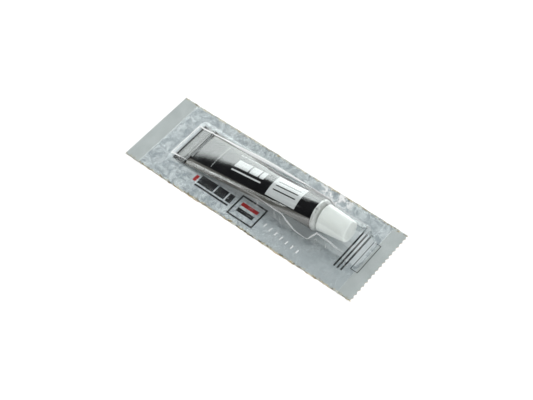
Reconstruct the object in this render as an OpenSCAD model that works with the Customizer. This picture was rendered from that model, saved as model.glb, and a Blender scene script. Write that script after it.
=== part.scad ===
// Glue tube sealed in its pack: a paper and foil backing, a clear formed film and the tube between them.
// The tube lies along +X with its cap forward and rests on the foil; the backing rests on z = 0.

/* [Backing] */
// Thickness of the paper layer
paper_thickness = 0.2; // [0.15:0.05:0.4]
// Thickness of the foil layer on the paper
foil_thickness = 0.1; // [0.1:0.05:0.2]
// Length of the flat seal band at the tail end
tail_seal_length = 7; // [5:0.5:10]
// Length of the flat seal band at the cap end
cap_seal_length = 6.5; // [5:0.5:10]
// Flat flange between the tail seal band and the pocket
tail_flat_length = 8; // [6:0.5:12]
// Flat flange between the pocket and the cap seal band
front_flat_length = 1.7; // [1:0.1:4]
// Flange width on the near side of the pocket
near_flange_width = 9.4; // [7:0.2:14]
// Flange width on the far side of the pocket
far_flange_width = 5.8; // [4:0.2:14]
// Pitch of the zigzag cut at the cap end
tooth_pitch = 2.35; // [1.5:0.05:3]
// Depth of the zigzag cut
tooth_depth = 0.8; // [0.4:0.1:1.2]
// How far the torn long edges wander inward
ragged_depth = 1.4; // [0.6:0.1:1.8]

/* [Tube] */
// Outside diameter of the round end
tube_diameter = 13.5; // [11:0.5:19]
// Length from the folded tail to the shoulder
tube_length = 69; // [55:1:90]
// Thickness of the aluminium wall
wall_thickness = 0.2; // [0.15:0.05:0.25]
// Thickness of the flattened tail without its fold
tail_thickness = 0.7; // [0.6:0.05:1]
// Length of the folded tail
fold_length = 6.5; // [5:0.5:9]
// Thickness of the layer folded over on top
fold_thickness = 0.45; // [0.3:0.05:0.6]
// Slit between the fold and the tail below it
fold_slit = 0.06; // [0.04:0.01:0.1]
// Length of the band of sealing compound in the tail
band_length = 4.5; // [3:0.5:4.5]
// Start of the chamber beyond the fold
chamber_offset = 2; // [1.5:0.1:3]
// Start of the glue beyond the fold
glue_offset = 4; // [3.5:0.1:6]
// Thickness of the band of sealing compound
band_thickness = 0.12; // [0.1:0.01:0.2]
// Step from the sleeve up to the shoulder rim
rim_step = 0.03; // [0.02:0.01:0.04]
// Overlap of the sleeve with the fold and with the rim
sleeve_lap = 0.5; // [0.3:0.05:0.6]
// Gap between the tube and the foil it lies on
seat_gap = 0.03; // [0.02:0.01:0.06]
// Gap between the glue and the inside of the wall
fill_gap = 0.08; // [0.06:0.01:0.12]

/* [Shoulder and neck] */
// Bare round rim at the start of the shoulder
rim_length = 0.8; // [0.5:0.1:1.2]
// Length of the shoulder with its rim
shoulder_length = 2.4; // [2:0.1:3.5]
// Thickness of the shoulder
shoulder_thickness = 0.6; // [0.5:0.05:0.9]
// Diameter of the neck at the root of its thread
neck_diameter = 6.2; // [5.4:0.1:6.6]
// Length of the threaded part of the neck
neck_length = 5.6; // [5.3:0.1:6.2]
// Diameter of the nozzle where it leaves the neck
nozzle_diameter = 5; // [4.4:0.1:5.2]
// Diameter of the nozzle at its mouth
mouth_diameter = 3; // [2.6:0.1:3.6]
// Diameter of the bore
bore_diameter = 1.6; // [1.2:0.1:2]
// Thickness of the closed mouth
mouth_thickness = 0.2; // [0.15:0.05:0.3]
// Height of the thread ridges
thread_height = 0.45; // [0.35:0.05:0.5]
// Pitch of the thread
thread_pitch = 1.25; // [1.2:0.05:1.4]
// Turns of the thread
thread_turns = 3; // [2:0.5:3]
// Width of a thread ridge at its root
ridge_root_width = 0.55; // [0.45:0.05:0.6]
// Width of a thread ridge at its crest
ridge_crest_width = 0.25; // [0.2:0.05:0.3]
// Distance from the shoulder to the middle of the first ridge
thread_start = 0.9; // [0.8:0.05:1]

/* [Cap] */
// Diameter at the open end
cap_base_diameter = 11.85; // [10.5:0.05:12.5]
// Diameter at the closed end
cap_end_diameter = 9.45; // [8.6:0.05:10.5]
// Length of the cap
cap_length = 12.6; // [11.5:0.1:15]
// Thickness of the closed end
cap_end_thickness = 1.2; // [0.9:0.1:1.8]
// Rounding of the closed end
cap_rounding = 0.7; // [0.4:0.1:0.9]
// Gap between the cap and the shoulder
cap_gap = 0.2; // [0.15:0.05:0.4]
// Thickness of the soft disc
liner_thickness = 1; // [0.6:0.1:1.4]
// Radial play of the soft disc in the cap
liner_play = 0.05; // [0.03:0.01:0.08]
// Gap between the soft disc and the closed mouth
mouth_gap = 0.05; // [0.03:0.01:0.1]
// Radial play between the threads
thread_play = 0.15; // [0.12:0.01:0.2]
// Radial room round the nozzle
nozzle_room = 0.5; // [0.4:0.05:0.6]

/* [Film] */
// Thickness of the film
film_thickness = 0.2; // [0.15:0.05:0.3]
// Height of the pocket over the tube
pocket_gap = 0.6; // [0.5:0.05:0.9]
// Pocket foot beyond the sides of the flattened tail
tail_side_margin = 1.8; // [1.4:0.1:3]
// Pocket foot beyond the sides of the round end
round_side_margin = 1.5; // [1.3:0.1:3]
// Pocket foot beyond the sides of the cap
cap_side_margin = 1.1; // [1:0.1:2]
// Pocket foot behind the tail
tail_end_margin = 2; // [1.5:0.1:4]
// Length of the slope in front of the cap
front_slope_length = 3.7; // [3:0.1:6]
// Length over which the pocket narrows from shoulder to cap
narrowing_length = 3; // [2:0.1:4]
// Rounding of the pocket corners in plan
corner_inset = 1.6; // [1:0.1:2]

/* [Hidden] */

round_facets = 96;

// Tube axis: s runs along it from the folded tail; both the fold and the round end touch the foil
tube_radius = tube_diameter / 2;
tail_half = tail_thickness / 2;
flat_half_width = PI * tube_radius / 2;
fold_top = tail_half + fold_thickness;
tilt = atan((tube_radius - tail_half) / tube_length);
shoulder_end = tube_length + shoulder_length;
cap_base = shoulder_end + cap_gap;
cap_end = cap_base + cap_length;
liner_end = cap_end - cap_end_thickness;
liner_start = liner_end - liner_thickness;
mouth_end = liner_start - mouth_gap;
neck_end = shoulder_end + neck_length;
cap_travel = thread_pitch * thread_turns;

// Sleeve where it is round and where it is flat
sleeve_radius = tube_radius - rim_step;
sleeve_half = tail_half - rim_step;
rim_end = tube_length + rim_length;
chamber_start = fold_length + chamber_offset;
glue_start = fold_length + glue_offset;

// Radii of the neck and the cap
neck_radius = neck_diameter / 2;
thread_crest = neck_radius + thread_height;
cap_thread_root = thread_crest + thread_play;
cap_thread_crest = neck_radius + thread_play;
cap_base_radius = cap_base_diameter / 2;
cap_end_radius = cap_end_diameter / 2;
liner_well_radius = nozzle_diameter / 2 + nozzle_room;

// Places in the pack
foil_top = paper_thickness + foil_thickness;
pocket_half_width = flat_half_width + tail_side_margin;
pack_width = near_flange_width + far_flange_width + 2 * pocket_half_width;
tube_y = (near_flange_width - far_flange_width) / 2;
front_top_s = cap_end + cap_travel + pocket_gap;
pack_length = tail_seal_length + tail_flat_length + tail_end_margin + front_top_s * cos(tilt)
    + front_slope_length + front_flat_length + cap_seal_length;
pack_back = -pack_length / 2;
crease_x = pack_back + tail_seal_length;
pocket_back = crease_x + tail_flat_length;
tail_x = pocket_back + tail_end_margin;
tail_z = foil_top + tail_half * cos(tilt) + seat_gap;
front_top_x = tail_x + front_top_s * cos(tilt);
film_half_width = pack_width / 2 - ragged_depth;

// Counts for the loops
teeth = round(pack_width / tooth_pitch);
edge_steps = 160;
sleeve_sides = 48;
sleeve_rings = 14;
thread_steps = 24;
rise_steps = 4;
arch_steps = 26;

// Torn edges: waves along an edge, how much of the depth each takes, how narrow their notches are,
// and where the waves of a layer start
paper_wander_share = 0.75;
notch_power = 2;
wander_waves = [2.3, 5.1, 13.7, 31, 53];
wander_shares = [0.3, 0.2, 0.2, 0.16, 0.14];
paper_wander_turn = 40;
foil_wander_turn = 115;

// Share of a thread's length over which its ridge rises
lead_in_share = 0.12;

// How square the pocket's section is over the flat tail and over the round end
tail_arch_power = 5;
round_arch_power = 2.6;

function mix(a, b, share) = a + (b - a) * share;

// Share of a torn edge's depth at the place u along it
function wander(u, turn) = wander_shares * [for (i = [0:len(wander_waves) - 1])
    pow((1 + sin(360 * wander_waves[i] * u + turn * (i + 1))) / 2, notch_power)];

// Outline of a backing layer: near edge, zigzag end, far edge
function backing_outline(depth, turn) = concat(
    [for (k = [0:edge_steps])
        [pack_back + pack_length * k / edge_steps, -pack_width / 2 + depth * wander(k / edge_steps, turn)]],
    [for (k = [1:2 * teeth - 1])
        [-pack_back - (k % 2) * tooth_depth, -pack_width / 2 + pack_width * k / (2 * teeth)]],
    [for (k = [edge_steps:-1:0])
        [pack_back + pack_length * k / edge_steps, pack_width / 2 - depth * wander(1 - k / edge_steps, turn)]]);

// Share of the way from the flat tail (0) to the round end (1)
function roundness(s) = max(0, min(1, (s - fold_length) / (tube_length - fold_length)));

// Point of the sleeve at the place s and angle a, for a round end of the radius r and a tail of half height h
function sleeve_point(s, a, r, h) = let (
        t = roundness(s),
        flat = PI * r / 2 * (a <= 180 ? 1 - a / 90 : a / 90 - 3))
    [s, mix(flat, r * cos(a), t), mix(h, r, t) * sin(a)];

function sleeve_ring(s, r, h) = [for (j = [0:sleeve_sides - 1]) sleeve_point(s, 360 * j / sleeve_sides, r, h)];

// Rings of the sleeve from the place first to the round end
function sleeve_loft(first, r, h) = [for (k = [0:sleeve_rings])
    sleeve_ring(mix(first, tube_length, k / sleeve_rings), r, h)];

function reversed(list) = [for (k = [len(list) - 1:-1:0]) list[k]];

// Solid between rings of equal count, closed at both ends
module loft(rings) {
    n = len(rings[0]);
    m = len(rings);
    sides = [for (i = [0:m - 2], j = [0:n - 1]) let (next = (j + 1) % n) each [
        [i * n + j, (i + 1) * n + j, i * n + next],
        [i * n + next, (i + 1) * n + j, (i + 1) * n + next]]];
    polyhedron([for (ring = rings) each ring],
        concat(sides, [[for (j = [0:n - 1]) j]], [[for (j = [n - 1:-1:0]) (m - 1) * n + j]]));
}

// Solid of revolution about the tube axis from a list of [s, radius]
module turned(profile) {
    rotate([0, 90, 0]) rotate_extrude($fn = round_facets) polygon([for (p = profile) [p[1], p[0]]]);
}

// Helical ridge about the tube axis from the place start; root and crest are radii
module thread(start, root, crest) {
    steps = thread_steps * thread_turns;
    embed = (root - crest) / 2;
    rotate([0, 90, 0]) loft([for (k = [0:steps]) let (
            a = 360 * k / thread_steps,
            z = start + thread_pitch * k / thread_steps,
            rise = min(1, k / steps / lead_in_share, (steps - k) / steps / lead_in_share),
            tip = mix(root + embed / 2, crest, rise),
            section = [[root + embed, -ridge_root_width / 2], [tip, -ridge_crest_width / 2],
                [tip, ridge_crest_width / 2], [root + embed, ridge_root_width / 2]])
        [for (p = crest < root ? section : reversed(section)) [p[0] * cos(a), p[0] * sin(a), z + p[1]]]]);
}

module along_tube() {
    translate([tail_x, tube_y, tail_z]) rotate([0, -tilt, 0]) children();
}

// Paper layer, lying on z = 0
module backing_paper() {
    color("BurlyWood") linear_extrude(paper_thickness)
        polygon(backing_outline(paper_wander_share * ragged_depth, paper_wander_turn));
}

// Foil layer bonded on the paper
module backing_foil() {
    color("Silver") translate([0, 0, paper_thickness]) linear_extrude(foil_thickness)
        polygon(backing_outline(ragged_depth, foil_wander_turn));
}

// Strip of film that stays sealed to the foil behind the crease
module film_tail_strip() {
    color("LightCyan") translate([pack_back, -film_half_width, foil_top])
        cube([tail_seal_length, 2 * film_half_width, film_thickness]);
}

// Folded tail: the flattened wall and the layer turned over on top of it, with a slit between
module tail_fold() {
    bend = (tail_thickness + fold_thickness) / 2;
    middle = fold_top - bend;
    rotate([90, 0, 0]) linear_extrude(2 * flat_half_width, center = true) difference() {
        union() {
            translate([bend, middle]) circle(bend, $fn = round_facets);
            translate([bend, -tail_half]) square([fold_length - bend, 2 * bend]);
        }
        translate([bend, tail_half]) square([fold_length, fold_slit]);
    }
}

// Place and size of the band of sealing compound
module band_block() {
    width = 2 * (flat_half_width - tail_thickness);
    translate([fold_length - band_length, -width / 2, -band_thickness / 2])
        cube([band_length - tail_thickness, width, band_thickness]);
}

// Aluminium tube: folded tail, ruled sleeve, shoulder, threaded neck and closed nozzle
module tube_body() {
    inner_radius = sleeve_radius - wall_thickness;
    inner_half = sleeve_half - wall_thickness;
    shoulder_radius = tube_radius - wall_thickness;
    bore_radius = bore_diameter / 2;
    sleeve_end = tube_length + sleeve_lap;
    outside = concat([sleeve_ring(fold_length - sleeve_lap, sleeve_radius, sleeve_half)],
        sleeve_loft(fold_length, sleeve_radius, sleeve_half),
        [sleeve_ring(sleeve_end, sleeve_radius, sleeve_half)]);
    inside = concat(sleeve_loft(chamber_start, inner_radius, inner_half),
        [sleeve_ring(sleeve_end, inner_radius, inner_half)]);
    color("DimGray") along_tube() {
        difference() {
            tail_fold();
            band_block();
        }
        loft(concat(outside, reversed(inside)));
        turned([[tube_length, shoulder_radius], [tube_length, tube_radius], [rim_end, tube_radius],
            [shoulder_end, thread_crest], [shoulder_end, neck_radius], [neck_end, neck_radius],
            [neck_end, nozzle_diameter / 2], [mouth_end, mouth_diameter / 2], [mouth_end, 0],
            [mouth_end - mouth_thickness, 0], [mouth_end - mouth_thickness, bore_radius],
            [shoulder_end - shoulder_thickness, bore_radius],
            [rim_end - wall_thickness, shoulder_radius]]);
        thread(shoulder_end + thread_start, neck_radius, thread_crest);
    }
}

// Band of sealing compound pressed between the two walls of the tail
module end_seal_band() {
    color("Tan") along_tube() band_block();
}

// Liquid adhesive that fills the sleeve
module glue_fill() {
    radius = sleeve_radius - wall_thickness - fill_gap;
    half = sleeve_half - wall_thickness - fill_gap;
    color("LightYellow") along_tube() loft(sleeve_loft(glue_start, radius, half));
}

// Soft disc that seals the mouth
module cap_liner() {
    radius = liner_well_radius - liner_play;
    color("WhiteSmoke") along_tube()
        turned([[liner_start, 0], [liner_start, radius], [liner_end, radius], [liner_end, 0]]);
}

// Tapered screw cap with its thread and the well for the soft disc
module cap() {
    corner = [for (k = [0:rise_steps]) let (a = 90 * k / rise_steps)
        [cap_end - cap_rounding * (1 - sin(a)), cap_end_radius - cap_rounding * (1 - cos(a))]];
    color("White") along_tube() {
        turned(concat([[cap_base, cap_thread_root], [cap_base, cap_base_radius]], corner,
            [[cap_end, 0], [liner_end, 0], [liner_end, liner_well_radius], [neck_end + cap_gap, liner_well_radius],
            [neck_end + cap_gap, cap_thread_root]]));
        thread(shoulder_end + thread_start + thread_pitch / 2, cap_thread_root, cap_thread_crest);
    }
}

// Underside of the pocket at the place s: half width at the foot and height over the foil
function pocket_half(s) = s < rim_end
    ? mix(flat_half_width + tail_side_margin, tube_radius + round_side_margin, roundness(s))
    : mix(tube_radius + round_side_margin, cap_base_radius + cap_side_margin,
        min(1, (s - rim_end) / narrowing_length));
function tube_top(s) = s < rim_end
    ? max(fold_top, mix(tail_half, tube_radius, roundness(s)))
    : mix(tube_radius, mix(cap_base_radius, cap_end_radius, (s - cap_base) / cap_length),
        min(1, (s - rim_end) / narrowing_length));
function pocket_height(s) = tail_z + s * sin(tilt) + tube_top(s) * cos(tilt) + pocket_gap - foil_top;
function pocket_power(s) = mix(tail_arch_power, round_arch_power, roundness(s));

// Stations of the film from the crease to the cap end: [x, half width, height, power]
film_stations = let (
        back_half = pocket_half(0),
        back_height = pocket_height(0),
        front_s = cap_end,
        front_half = pocket_half(front_s),
        front_height = pocket_height(front_s)) concat(
    [[crease_x, back_half - corner_inset, 0, tail_arch_power]],
    [for (k = [0:rise_steps - 1]) let (swell = sin(90 * k / rise_steps))
        [pocket_back + tail_end_margin * (1 - cos(90 * k / rise_steps)),
            back_half - corner_inset * (1 - swell), back_height * swell, tail_arch_power]],
    [for (k = [0:sleeve_rings]) let (s = rim_end * k / sleeve_rings)
        [tail_x + s * cos(tilt), pocket_half(s), pocket_height(s), pocket_power(s)]],
    [for (k = [1:rise_steps]) let (s = rim_end + narrowing_length * k / rise_steps)
        [tail_x + s * cos(tilt), pocket_half(s), pocket_height(s), round_arch_power]],
    [[tail_x + cap_end * cos(tilt), front_half, front_height, round_arch_power]],
    [for (k = [rise_steps:-1:0]) let (swell = sin(90 * k / rise_steps))
        [front_top_x + front_slope_length * cos(90 * k / rise_steps),
            front_half - corner_inset * (1 - swell), front_height * swell, round_arch_power]],
    [[-pack_back - tooth_depth, front_half - corner_inset, 0, round_arch_power]]);

// One row of film points: the near flange, the arch and the far flange, raised and widened by grow
function film_row(station, grow) = let (
        x = station[0], power = 2 / station[3],
        half = station[1] + (station[2] > 0 ? grow : 0))
    concat([[x, -film_half_width, foil_top + grow]],
        [for (j = [0:arch_steps]) let (a = 180 * j / arch_steps)
            [x, tube_y - half * sign(cos(a)) * pow(abs(cos(a)), power),
                foil_top + grow + station[2] * pow(abs(sin(a)), power)]],
        [[x, film_half_width, foil_top + grow]]);

// Thin solid between two grids of points, under and over, with equal rows
module sheet(under, over) {
    m = len(under);
    n = len(under[0]);
    top = m * n;
    cells = [for (i = [0:m - 2], j = [0:n - 2]) i * n + j];
    lower = [for (c = cells) each [[c, c + n, c + 1], [c + 1, c + n, c + n + 1]]];
    upper = [for (f = lower) [top + f[0], top + f[2], top + f[1]]];
    rim = concat([for (j = [0:n - 1]) j], [for (i = [1:m - 1]) i * n + n - 1],
        [for (j = [n - 2:-1:0]) (m - 1) * n + j], [for (i = [m - 2:-1:1]) i * n]);
    walls = [for (k = [0:len(rim) - 1]) let (a = rim[k], b = rim[(k + 1) % len(rim)])
        each [[a, b, top + a], [b, top + b, top + a]]];
    polyhedron([for (row = concat(under, over)) each row], concat(lower, upper, walls));
}

// Clear lid: the pocket over the tube and the flange sealed to the foil
module clear_film() {
    color("LightCyan", 0.4) sheet([for (station = film_stations) film_row(station, 0)],
        [for (station = film_stations) film_row(station, film_thickness)]);
}

backing_paper();
backing_foil();
film_tail_strip();
tube_body();
end_seal_band();
glue_fill();
cap_liner();
cap();
clear_film();
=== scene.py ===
import math
import bpy
from mathutils import Matrix, Vector


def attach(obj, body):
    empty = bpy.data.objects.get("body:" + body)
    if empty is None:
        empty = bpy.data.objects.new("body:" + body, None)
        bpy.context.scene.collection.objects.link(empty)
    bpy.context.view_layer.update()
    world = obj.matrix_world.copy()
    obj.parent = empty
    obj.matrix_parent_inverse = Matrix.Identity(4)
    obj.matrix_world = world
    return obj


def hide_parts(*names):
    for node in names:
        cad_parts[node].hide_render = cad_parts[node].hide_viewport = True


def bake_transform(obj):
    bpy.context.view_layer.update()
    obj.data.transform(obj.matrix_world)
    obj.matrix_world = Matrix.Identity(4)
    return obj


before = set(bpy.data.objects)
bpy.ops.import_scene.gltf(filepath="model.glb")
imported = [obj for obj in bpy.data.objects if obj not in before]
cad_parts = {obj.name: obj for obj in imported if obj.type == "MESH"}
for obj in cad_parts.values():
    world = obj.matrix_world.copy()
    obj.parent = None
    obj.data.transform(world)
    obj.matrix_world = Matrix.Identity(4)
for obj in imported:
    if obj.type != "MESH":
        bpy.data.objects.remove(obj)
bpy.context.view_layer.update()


# Backing paper: the lower layer of the pack, a sheet of brown kraft paper.
# It is cut with a zigzag knife at the cap end and torn along its long edges,
# where the loose fibres show.
FIBRE_STRETCH = (1, 0.22, 1)
FIBRE_TURN = (0, 0, 0.5)
FIBRES_PER_METRE = 2600
PULP_PER_METRE = 700
PULP_COLOUR = (0.78, 0.7, 0.54, 1)
FIBRE_DEPTH = 0.00006


def new_finish(name):
    """A material with an empty node tree and the tree's output."""
    finish = bpy.data.materials.new(name)
    finish.use_nodes = True
    finish.node_tree.nodes.clear()
    output = finish.node_tree.nodes.new("ShaderNodeOutputMaterial")
    return finish, finish.node_tree, output


def put(tree, kind, settings=None, **sockets):
    """Adds a node. A socket is named with underscores, or in_0 for the first; it takes a value or a link."""
    made = tree.nodes.new(kind)
    for name, value in (settings or {}).items():
        setattr(made, name, value)
    for name, value in sockets.items():
        plain = name.replace("_", " ")
        socket = made.inputs[int(name[3:])] if name.startswith("in_") else made.inputs[plain]
        if isinstance(value, bpy.types.NodeSocket):
            tree.links.new(value, socket)
        else:
            socket.default_value = value
    return made


def place_of(tree, scale=(1, 1, 1), turn=(0, 0, 0)):
    """Coordinates on a piece, stretched and turned by a Mapping node."""
    place = put(tree, "ShaderNodeTexCoord").outputs["Object"]
    return put(tree, "ShaderNodeMapping", Vector=place, Scale=scale, Rotation=turn).outputs["Vector"]


def grain(tree, place, scale, detail=4.0, roughness=0.55, distortion=0.0):
    """A noise value between 0 and 1, with cells of about 1 / scale metres."""
    return put(tree, "ShaderNodeTexNoise", Vector=place, Scale=scale, Detail=detail, Roughness=roughness,
               Distortion=distortion).outputs["Fac"]


def shades(tree, value, *stops):
    """A colour ramp through the stops, each a place and a colour."""
    ramp = put(tree, "ShaderNodeValToRGB", Fac=value)
    points = ramp.color_ramp.elements
    while len(points) < len(stops):
        points.new(0.5)
    for point, (place, colour) in zip(points, stops):
        point.position = place
        point.color = (*colour, 1)
    return ramp.outputs["Color"]


def spread(tree, value, low, high, low_to=0.0, high_to=1.0):
    """A value moved smoothly from one range to another and clamped there."""
    return put(tree, "ShaderNodeMapRange", {"interpolation_type": "SMOOTHSTEP"}, in_0=value, in_1=low,
               in_2=high, in_3=low_to, in_4=high_to).outputs["Result"]


def colour_mix(tree, share, first, second):
    """The first colour at share 0 and the second at share 1."""
    mixer = put(tree, "ShaderNodeMix", {"data_type": "RGBA"}, in_0=share, in_6=first, in_7=second)
    return mixer.outputs[2]


def bumps(tree, height, depth, strength=1.0):
    """A normal that is tilted as if the height value stood out by this depth."""
    return put(tree, "ShaderNodeBump", Height=height, Distance=depth, Strength=strength).outputs["Normal"]


def show(tree, shader, output):
    """Makes a shader the surface of its material."""
    tree.links.new(shader.outputs[0], output.inputs["Surface"])


def dress(piece, finish):
    """Gives a piece this finish in place of the ones it came with."""
    piece.data.materials.clear()
    piece.data.materials.append(finish)


kraft, tree, output = new_finish("kraft_paper")
fibres = grain(tree, place_of(tree, FIBRE_STRETCH, FIBRE_TURN), FIBRES_PER_METRE,
               detail=6, roughness=0.7, distortion=0.6)
pulp = grain(tree, place_of(tree), PULP_PER_METRE, detail=5, roughness=0.6)
fibre_colour = shades(tree, fibres, (0.36, (0.12, 0.09, 0.05)), (0.5, (0.52, 0.4, 0.2)),
                      (0.66, (0.86, 0.8, 0.68)))
shader = put(tree, "ShaderNodeBsdfPrincipled",
             Base_Color=colour_mix(tree, spread(tree, pulp, 0.48, 0.62), fibre_colour, PULP_COLOUR),
             Roughness=spread(tree, fibres, 0.2, 0.8, 0.8, 0.95), Normal=bumps(tree, fibres, FIBRE_DEPTH))
show(tree, shader, output)
dress(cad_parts["backing_paper"], kraft)


# Backing foil: the satin silver face of the backing, laminated on the paper and printed.
# The film sticks to it in patches, which show as lighter and darker blotches, while the two
# ends are pressed flat and plain by the sealing bars, and the long edges are torn to the paper.
PACK_HALF_WIDTH = 0.0200
TAIL_BAND_END = -0.0515
CAP_BAND_START = 0.0520
BAND_BLUR = 0.0004

# the middle of the tube's folded end, and the foot of the film's pocket round the tube
TAIL = Vector((-0.0415358, 0.0018, 0.0006785))
POCKET_BACK = -0.0435
POCKET_FRONT = 0.0503
POCKET_MIDDLE = 0.0018
TAIL_HALF_POCKET = 0.0124
ROUND_HALF_POCKET = 0.0089
CAP_HALF_POCKET = 0.0071
ROUND_END = 0.0277
CAP_START = 0.0310
FOOT_BLUR_OUT = 0.0004
FOOT_BLUR_IN = -0.0002

PATCHES_PER_METRE = 300
FLECKS_PER_METRE = 1100
CLOUDS_PER_METRE = 80
BAND_GRAIN_PER_METRE = 160
SHREDS_PER_METRE = 1000
PALE_FLECK = (0.72, 0.76, 0.765, 1)
DULL_CLOUD = (0.41, 0.45, 0.475, 1)
CALM_COLOUR = (0.46, 0.5, 0.515, 1)
CALM_ACROSS = (-0.006, -0.011)
CALM_ALONG = (-0.005, 0.02)
CALM_SHARE = 0.8
FLECK_HEIGHT_SHARE = 0.4
PATCH_DEPTH = 0.00015
TEAR_NARROW = 0.0001
TEAR_WIDE = 0.0019
TEAR_BLUR = 0.0001

# printed rectangles, each a centre and a size, and rows of them
RED_INK = (0.42, 0.02, 0.02, 1)
FOIL_BARS = ((-0.0252, 0.0082), (-0.0163, 0.0052), (-0.0104, 0.0026))
FOIL_BAR_MIDDLE = -0.0104
FOIL_BAR_HEIGHT = 0.0044
FOIL_UNDERLINE = ((-0.0165, -0.0138), (0.0175, 0.0009))
RED_TAB = ((-0.0268, -0.0110), (0.0016, 0.0032))
FRAME = ((0.0005, -0.0112), (0.0132, 0.0112))
FRAME_LINE = 0.0008
FRAME_BLACK_BAR = ((0.0005, -0.0126), (0.0084, 0.002))
FRAME_RED_BAR = ((0.0005, -0.0094), (0.0084, 0.0018))
RULE_START = (0.0435, -0.0002)
RULE_STEP = (0.0017, 0)
RULE_SIZE = (0.0008, 0.0203)
RULES = 3
THIN_FRAME = ((0.0512, 0.0006), (0.0036, 0.0162))
THIN_FRAME_LINE = 0.0003


def straight(tree, value, low, high, low_to, high_to):
    """A value moved in a straight line from one range to another and clamped there."""
    return put(tree, "ShaderNodeMapRange", in_0=value, in_1=low, in_2=high, in_3=low_to,
               in_4=high_to).outputs["Result"]


def sums(tree, operation, first, second=0.0):
    """The result of a Math node."""
    return put(tree, "ShaderNodeMath", {"operation": operation}, in_0=first, in_1=second).outputs["Value"]


def times(tree, first, *others):
    """The product of two or more values."""
    product = first
    for other in others:
        product = sums(tree, "MULTIPLY", product, other)
    return product


def vectors(tree, operation, first, second=(0, 0, 0), result=0):
    """A result of a Vector Math node: 0 is the vector, and Value the number."""
    made = put(tree, "ShaderNodeVectorMath", {"operation": operation}, in_0=first, in_1=second)
    return made.outputs[result]


def together(tree, masks):
    """1 where any of the masks is 1."""
    whole = masks[0]
    for mask in masks[1:]:
        whole = sums(tree, "MAXIMUM", whole, mask)
    return whole


def sealed_ends(tree, along):
    """1 on the flange and pocket, and 0 on the plain bands at both ends."""
    return times(tree, spread(tree, along, TAIL_BAND_END, TAIL_BAND_END + BAND_BLUR),
                 spread(tree, along, CAP_BAND_START, CAP_BAND_START - BAND_BLUR))


def past_foot(tree, along, across):
    """How far a place lies outside the foot of the film's pocket."""
    tapered = straight(tree, along, TAIL.x, ROUND_END, TAIL_HALF_POCKET, ROUND_HALF_POCKET)
    narrowed = straight(tree, along, ROUND_END, CAP_START, ROUND_HALF_POCKET, CAP_HALF_POCKET)
    half = sums(tree, "MINIMUM", tapered, narrowed)
    off_middle = sums(tree, "ABSOLUTE", sums(tree, "SUBTRACT", across, POCKET_MIDDLE))
    behind = sums(tree, "SUBTRACT", POCKET_BACK, along)
    ahead = sums(tree, "SUBTRACT", along, POCKET_FRONT)
    return together(tree, [sums(tree, "SUBTRACT", off_middle, half), behind, ahead])


def under_pocket(tree, along, across):
    """1 under the film's pocket and 0 on the flange round it."""
    return spread(tree, past_foot(tree, along, across), FOOT_BLUR_OUT, FOOT_BLUR_IN)


def block(tree, place, centre, size):
    """1 inside a printed rectangle of this centre and size, and 0 outside."""
    reach = vectors(tree, "ABSOLUTE", vectors(tree, "SUBTRACT", place, (*centre, 0)))
    beyond = vectors(tree, "SUBTRACT", reach, (size[0] / 2, size[1] / 2, 0))
    sides = put(tree, "ShaderNodeSeparateXYZ", Vector=beyond)
    return sums(tree, "LESS_THAN", sums(tree, "MAXIMUM", sides.outputs["X"], sides.outputs["Y"]), 0.0)


def outline(tree, place, centre, size, line):
    """1 on the border of a printed rectangle, of this width of line."""
    inner = block(tree, place, centre, (size[0] - 2 * line, size[1] - 2 * line))
    return sums(tree, "SUBTRACT", block(tree, place, centre, size), inner)


def bars_of(tree, place, spans, middle, height):
    """1 on a line of bars of one height; each span is the start and the length of a bar."""
    return together(tree, [block(tree, place, (start + length / 2, middle), (length, height))
                           for start, length in spans])


def row_of(tree, place, start, step, size, count):
    """1 on a row of equal rectangles, each one step on from the last."""
    centres = [(start[0] + step[0] * number, start[1] + step[1] * number) for number in range(count)]
    return together(tree, [block(tree, place, centre, size) for centre in centres])


satin_foil, tree, output = new_finish("satin_foil")
place = place_of(tree)
axes = put(tree, "ShaderNodeSeparateXYZ", Vector=place)
along, across = axes.outputs["X"], axes.outputs["Y"]
flange = sealed_ends(tree, along)
pocket = under_pocket(tree, along, across)
stuck = times(tree, flange, sums(tree, "SUBTRACT", 1.0, pocket))

patches = grain(tree, place, PATCHES_PER_METRE, detail=8, roughness=0.62, distortion=1.1)
flecks = grain(tree, place, FLECKS_PER_METRE, detail=5, roughness=0.65, distortion=0.6)
clouds = grain(tree, place, CLOUDS_PER_METRE, detail=3, roughness=0.5)
patch_colour = shades(tree, patches, (0.38, (0.33, 0.365, 0.39)), (0.47, (0.41, 0.45, 0.475)),
                      (0.5, (0.53, 0.575, 0.59)), (0.6, (0.66, 0.7, 0.71)))
fleck_colour = colour_mix(tree, spread(tree, flecks, 0.56, 0.66, 0, 0.6), patch_colour, PALE_FLECK)
cloud_colour = colour_mix(tree, spread(tree, clouds, 0.42, 0.6, 0, 0.4), fleck_colour, DULL_CLOUD)
calm = times(tree, spread(tree, across, *CALM_ACROSS), spread(tree, along, *CALM_ALONG), CALM_SHARE)
calm_colour = colour_mix(tree, calm, cloud_colour, CALM_COLOUR)
# the foil under the pocket: smooth, and painted lighter to offset the tube's shade there
smooth_colour_with_painted_light = shades(tree, clouds, (0.35, (0.52, 0.55, 0.57)), (0.65, (0.64, 0.67, 0.685)))
band_grain = grain(tree, place, BAND_GRAIN_PER_METRE, detail=4, roughness=0.5)
band_colour = shades(tree, band_grain, (0.35, (0.5, 0.53, 0.525)), (0.65, (0.56, 0.59, 0.585)))
flange_colour = colour_mix(tree, pocket, calm_colour, smooth_colour_with_painted_light)
foil_colour = colour_mix(tree, flange, band_colour, flange_colour)

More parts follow.
